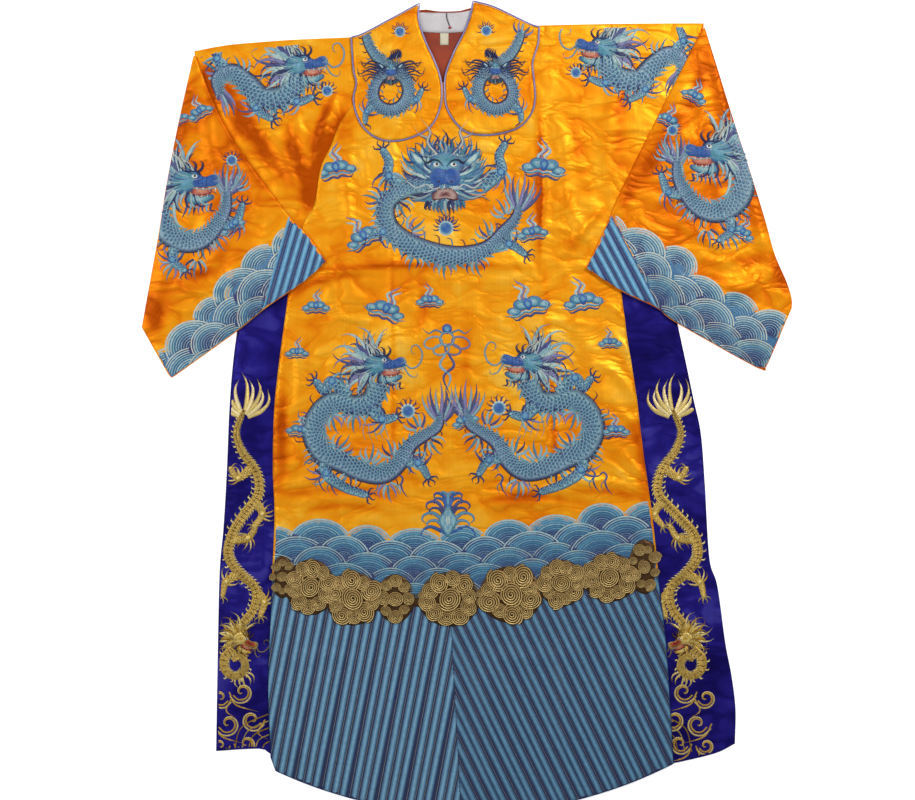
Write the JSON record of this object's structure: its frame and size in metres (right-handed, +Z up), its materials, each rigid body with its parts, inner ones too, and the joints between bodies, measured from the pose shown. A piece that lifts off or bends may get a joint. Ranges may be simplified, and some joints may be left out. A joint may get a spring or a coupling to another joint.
{
  "type": "chinese dragon robe",
  "caption": "Full-length opera robe laid flat with sleeves folded over it, cloud collar, navy side panels and embroidered wave hem.",
  "frame": {"origin": "middle of the robe's length and width, on the surface it lies on", "axes": "+Y towards the collar, +X to the viewer's right, +Z up off the surface, through the front"},
  "size_m": [1.143, 1.4313, 0.0155],
  "materials": {
    "orange_satin": "orange silk satin, glossy, embroidered in blues and gold",
    "navy_satin": "navy silk satin with gold thread embroidery",
    "red_orange_lining": "red-orange cotton lining, matt",
    "lilac_binding": "lilac satin bias binding",
    "white_lining": "white cotton lining, matt",
    "cream_tab": "plain cream woven tape",
    "dark_cord": "dark braided cord",
    "red_knot": "red wound thread",
    "gold_thread": "couched gold thread, metallic sheen"
  },
  "bodies": {
    "root": {"back": "red_orange_lining", "under_front": "orange_satin", "front": "orange_satin", "sleeve_left": "orange_satin", "sleeve_right": "orange_satin", "collar_left": "orange_satin", "collar_right": "orange_satin", "collar_binding_left": "lilac_binding", "collar_binding_right": "lilac_binding", "side_panel_left": "navy_satin", "side_panel_right": "navy_satin", "gold_cloud_band": "gold_thread", "neck_lining": "white_lining", "neck_tab": "cream_tab", "tie_cord": "dark_cord", "tie_knot": "red_knot"}
  },
  "joints": []
}
